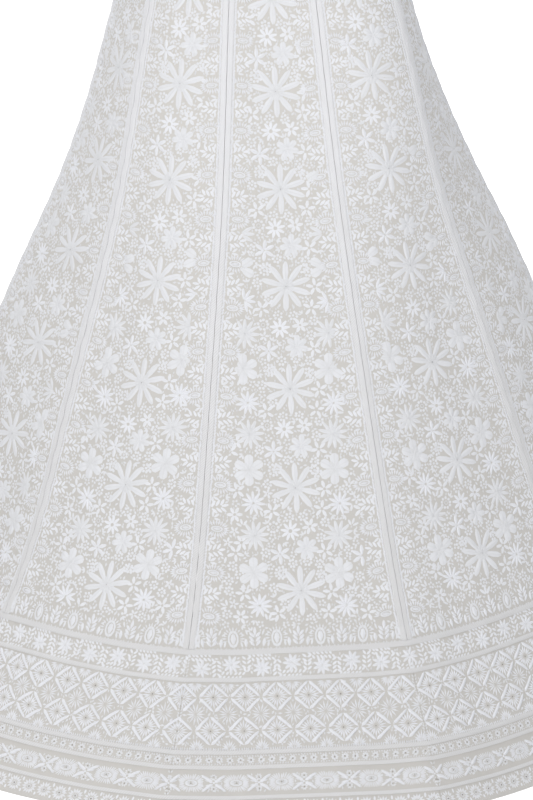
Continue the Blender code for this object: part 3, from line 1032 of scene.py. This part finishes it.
def keptOnOwnKali(rows):
    # a motif that sits on a seam is shared: each kali keeps the stitches on its own side
    return [row for row in rows if -0.05 <= row[1] + halfKali(row[2]) < 1.998 * halfKali(row[2])]


def sewSeamRidge(rows):
    # below the first tape the seam itself is worked over with small slanting stitches, half from each kali
    for y in np.arange(seamRidge["top"], seamRidge["bottom"], seamRidge["pitch"]):
        fromTapes = [abs(y / 1000 - middle) - width / 2 for middle, width in borderTapes.values()]
        fromCross = abs(y - borderRows["medallions"][0])
        if min(fromTapes) < 0.002 or fromCross <= seamRidge["clearOfCross"]:
            continue
        for side in (-1, 1):
            x = side * (halfKali(y) - seamRidge["fromSeam"])
            sew(rows, "stitch", x, y, radians(90 + side * 40), 4.2, 1.9, 1.0, 0.4)


def stitchMesh(name, kali, rows):
    points, faces, values, faceMaterials = [], [], [], []
    count = 0
    for shape, (shapePoints, shapeFaces) in stitchShapes.items():
        table = np.array([row[1:] for row in rows if row[0] == shape], float)
        if not len(table):
            continue
        x, y, turn, length, width, height, tone = [table[:, i : i + 1] for i in range(7)]
        # no two hand stitches lie quite alike; the small ones stray more than the long ones
        stray = 1 / (1 + length / 5)
        x = x + stitchDice.normal(0, handStray["stitchPlace"], x.shape) * stray
        y = y + stitchDice.normal(0, handStray["stitchPlace"], x.shape) * stray
        turn = turn + stitchDice.normal(0, handStray["stitchTurn"], x.shape) * stray
        along = shapePoints[None, :, 0] * length
        beside = shapePoints[None, :, 1] * width
        across = x + np.cos(turn) * along - np.sin(turn) * beside
        depth = (y - np.sin(turn) * along - np.cos(turn) * beside) / 1000
        sunk = 0.04 + 0.006 * length  # a long stitch's ends are drawn a little further into the cloth
        lift = (shapePoints[None, :, 2] * (0.8 * height + sunk) - sunk) / 1000
        points.append(onCloth(kali + across / 1000 / kaliWidth(depth), depth, lift).reshape(-1, 3))
        tone = tone + stitchDice.uniform(-handStray["stitchTone"], handStray["stitchTone"], tone.shape)
        tones = np.clip(tone, 0, 1) + 0 * along
        halfShare = 2 * shapePoints[None, :, 1] + 0 * along
        values.append(np.stack([along, halfShare, tones], axis=-1).reshape(-1, 3))
        starts = count + np.arange(len(table)) * len(shapePoints)
        faces.append((shapeFaces[None] + starts[:, None, None]).reshape(-1, 3))
        faceMaterials.append(np.full(len(faces[-1]), 1 if shape == "hole" else 0))
        count += len(points[-1])
    piece = flatMesh(
        name, np.concatenate(points), np.concatenate(faces), [satinThread, openEyelet], "stitchPlace",
        np.concatenate(values), np.concatenate(faceMaterials),
    )
    piece.data.set_sharp_from_angle(angle=radians(65))  # the undersides don't darken the stitches' edges
    return keep(piece)


def makeEmbroidery(kali):
    fieldStitches = []
    sewField(fieldStitches, kali)
    rows = keptInField(fieldStitches)
    sewSides(rows, kali)
    sewTallLeaves(rows)
    sowFillers(rows, fieldFiller)
    border = []
    sewFlowerRow(border, kali)
    sewDiamonds(border, kali)
    sewEyelets(border)
    sewMedallions(border)
    sewHemBand(border)
    border = keptOnOwnKali(border)
    sewSeamRidge(border)
    sowFillers(border, borderFiller)
    return stitchMesh(f"embroidery{kali + 1:02d}", kali, rows + border)


shown["embroidery"] = [makeEmbroidery(kali) for kali in range(skirt["kalis"])]
stitchTriangles = [len(piece.data.polygons) for piece in shown["embroidery"]]
print("embroidery triangles:", stitchTriangles, sum(stitchTriangles))


# floor, light and camera
stageSizes = {"floor": 60.0, "floorLevel": -2.0, "roomLight": 0.54}
bpy.ops.mesh.primitive_plane_add(size=stageSizes["floor"], location=(0, 0, stageSizes["floorLevel"]))
floor = bpy.context.object
floor.name = "paleFloor"
bpy.ops.object.transform_apply(location=True, rotation=True, scale=True)
floorPaint = newMaterial("matt white paint, rolled", {"Base Color": linear("#f7f7f7"), "Roughness": 0.9})[0]
floor.data.materials.append(floorPaint)

world = bpy.data.worlds.new("softRoom")
world.use_nodes = True
world.node_tree.nodes["Background"].inputs["Color"].default_value = linear("#fbfcff")
world.node_tree.nodes["Background"].inputs["Strength"].default_value = stageSizes["roomLight"]
bpy.context.scene.world = world
bpy.context.scene.view_settings.view_transform = "Standard"

lamps = (
    # name, place, aimed at, size, spread in degrees, power, hex colour
    ("keyFromLeft", (-0.72, -2.5, 0.75), (0.0, 0.0, -0.35), 1.6, 180, 38, "#ffffff"),
    ("fillFromRight", (2.6, -3.4, 0.8), (0.0, 0.0, -0.5), 3.0, 180, 19, "#fbfcff"),
    ("floorWash", (0.0, 5.5, 3.0), (0.0, 5.5, -2.0), 8.0, 120, 430, "#ffffff"),
)
for name, place, aimedAt, size, spread, power, colour in lamps:
    lamp = bpy.data.lights.new(name, "AREA")
    lamp.size = size
    lamp.spread = radians(spread)
    lamp.energy = power
    lamp.color = linear(colour)[:3]
    holder = bpy.data.objects.new(name, lamp)
    bpy.context.scene.collection.objects.link(holder)
    holder.location = place
    aim = Vector(aimedAt) - Vector(place)
    holder.rotation_euler = aim.to_track_quat("-Z", "Y").to_euler()

photoView = {
    "distance": 3.4,
    "height": 0.56,
    "turn": -0.3,
    "aimRight": -0.0258,
    "aimHeight": -0.633,
    "roll": -2.45,
    "focal": 2984,  # in pixels of a picture that is longSide pixels high
    "longSide": 800,
}
turn = radians(photoView["turn"])
cameraData = bpy.data.cameras.new("photoCamera")
camera = bpy.data.objects.new("photoCamera", cameraData)
bpy.context.scene.collection.objects.link(camera)
away, right = photoView["distance"], photoView["aimRight"]
eye = Vector((away * sin(turn), -away * cos(turn), photoView["height"]))
aim = Vector((right * cos(turn), right * sin(turn), photoView["aimHeight"]))
look = (aim - eye).to_track_quat("-Z", "Y").to_matrix().to_4x4()
roll = Matrix.Rotation(radians(photoView["roll"]), 4, "Z")
camera.matrix_world = Matrix.Translation(eye) @ look @ roll
cameraData.sensor_width = 36.0
cameraData.lens = photoView["focal"] / photoView["longSide"] * cameraData.sensor_width
cameraData.clip_end = 60.0
bpy.context.scene.camera = camera
print("stage set")
